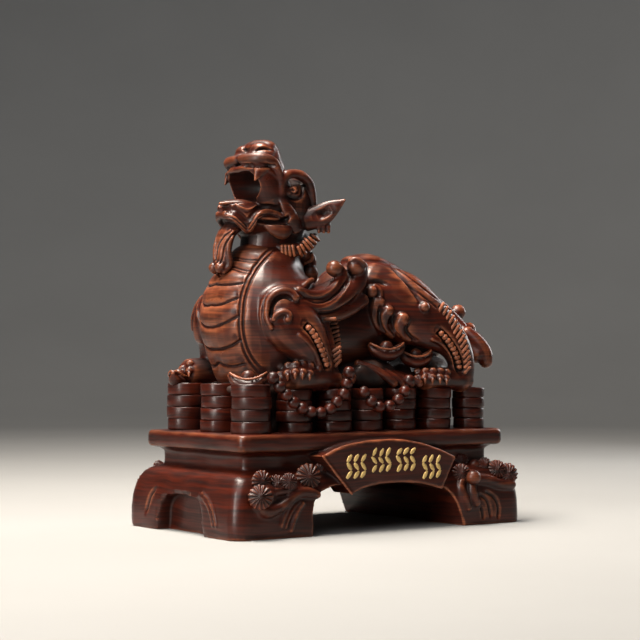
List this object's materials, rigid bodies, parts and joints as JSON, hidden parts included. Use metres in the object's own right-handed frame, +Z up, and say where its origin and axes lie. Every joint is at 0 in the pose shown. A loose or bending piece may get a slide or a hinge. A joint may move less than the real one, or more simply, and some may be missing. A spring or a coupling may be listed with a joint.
{
  "type": "pixiu figure",
  "caption": "Carved-look pixiu, a winged guardian beast with its head thrown back, crouching on a heap of coins, ingots and beads, on a footed plinth with a fan-shaped panel.",
  "frame": {"origin": "on the ground under the middle of the plinth, at the bottom centre of the bounding box", "axes": "+Z up; the beast faces -X; the panel with the gold strokes faces -Y"},
  "size_m": [0.145, 0.086, 0.1605],
  "materials": {
    "lacquered_figure": "cast resin with a red-brown wood-grain lacquer, satin gloss, brighter on the raised edges and dark in the recesses",
    "lacquered_plinth": "cast resin with a darker red-brown wood-grain lacquer, satin gloss, with pale gold strokes on the panel"
  },
  "bodies": {
    "root": {"plinth": "lacquered_plinth", "pixiu_on_coins": "lacquered_figure"}
  },
  "joints": []
}
